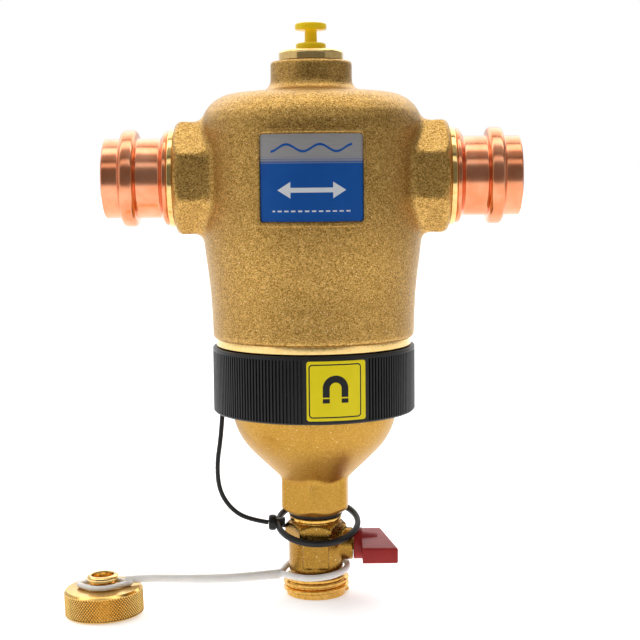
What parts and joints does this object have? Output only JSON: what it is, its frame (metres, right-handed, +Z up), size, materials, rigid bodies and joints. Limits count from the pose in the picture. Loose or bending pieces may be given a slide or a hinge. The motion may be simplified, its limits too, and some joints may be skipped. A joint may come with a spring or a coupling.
{
  "type": "magnetic system filter",
  "caption": "Brass in-line dirt filter with copper press ends, a pull-out magnet rod, a removable magnet collar and a capped drain valve.",
  "frame": {"origin": "centre of the drain outlet's end face, which the filter stands on", "axes": "+Z up the filter's axis, +X towards the outlet port along the pipe run, -Y towards the name label"},
  "size_m": [0.1826, 0.0897, 0.2322],
  "materials": {
    "cast_brass": "blasted sand casting with a fine bright grain",
    "fine_brass": "finely blasted",
    "valve_brass": "tumbled forging with machined threads",
    "bright_brass": "machined bright",
    "cap_brass": "knurled and machined",
    "copper": "polished copper with faint stains",
    "black_plastic": "moulded, ribbed, satin black",
    "tether_black": "soft black moulding",
    "yellow_plastic": "glossy",
    "red_plastic": "satin moulded",
    "ivory_plastic": "soft moulded",
    "element_plastic": "moulded",
    "seat_plastic": "smooth",
    "black_rubber": "smooth",
    "steel": "turned",
    "steel_mesh": "woven",
    "magnet_nickel": "nickel plated",
    "ball_chrome": "polished",
    "label_foil": "printed foil, silver over blue",
    "label_yellow": "printed film"
  },
  "bodies": {
    "housing": {"upper_casting": "cast_brass", "name_label": "label_foil", "lower_bowl": "fine_brass", "bowl_seal": "black_rubber", "magnet_pocket": "bright_brass", "pocket_seal": "black_rubber", "element_core": "element_plastic", "element_base_ring": "element_plastic", "element_top_ring": "element_plastic", "mesh_panels": "steel_mesh", "outlet_adapter": "bright_brass", "outlet_adapter_seal": "black_rubber", "outlet_press_sleeve": "copper", "outlet_press_seal": "black_rubber", "inlet_adapter": "bright_brass", "inlet_adapter_seal": "black_rubber", "inlet_press_sleeve": "copper", "inlet_press_seal": "black_rubber", "valve_body": "valve_brass", "valve_retainer": "valve_brass", "upper_valve_seat": "seat_plastic", "lower_valve_seat": "seat_plastic", "neck_gasket": "black_rubber", "tether_loop": "tether_black", "collar_tether": "tether_black"},
    "magnet_rod": {"pull_knob": "yellow_plastic", "rod_tube": "steel", "rod_magnets": "magnet_nickel", "rod_pole_pieces": "steel", "rod_end_plug": "steel"},
    "collar": {"collar_shell": "black_plastic", "collar_magnets": "magnet_nickel", "collar_base_ring": "black_plastic", "magnet_label": "label_yellow"},
    "handle": {"valve_handle": "red_plastic", "handle_screw": "steel", "valve_stem": "valve_brass", "stem_seals": "black_rubber", "valve_ball": "ball_chrome"},
    "strap": {"strap_valve_eye": "ivory_plastic", "strap_cap_eye": "ivory_plastic", "cap_strap": "ivory_plastic"},
    "cap": {"drain_cap": "cap_brass", "cap_gasket": "black_rubber"}
  },
  "joints": [
    {"name": "rod_pull", "type": "slide", "parent": "housing", "child": "magnet_rod", "axis": [0, 0, 1], "range_m": [0, 0.125]},
    {"name": "collar_slide", "type": "slide", "parent": "housing", "child": "collar", "axis": [0, 0, -1], "range_m": [0, 0.05], "deforming": ["collar_tether"]},
    {"name": "handle_turn", "type": "hinge", "parent": "housing", "child": "handle", "pos_m": [0, 0, 0.02055], "axis": [-1, 0, 0], "range_deg": [0, 90]},
    {"name": "strap_swing", "type": "hinge", "parent": "housing", "child": "strap", "pos_m": [0, 0, 0.0104], "axis": [0, 0, 1], "continuous": true},
    {"name": "cap_turn", "type": "hinge", "parent": "strap", "child": "cap", "pos_m": [-0.0838, -0.0265, 0.00045], "axis": [-0.0297, 0, 0.9996], "continuous": true}
  ]
}
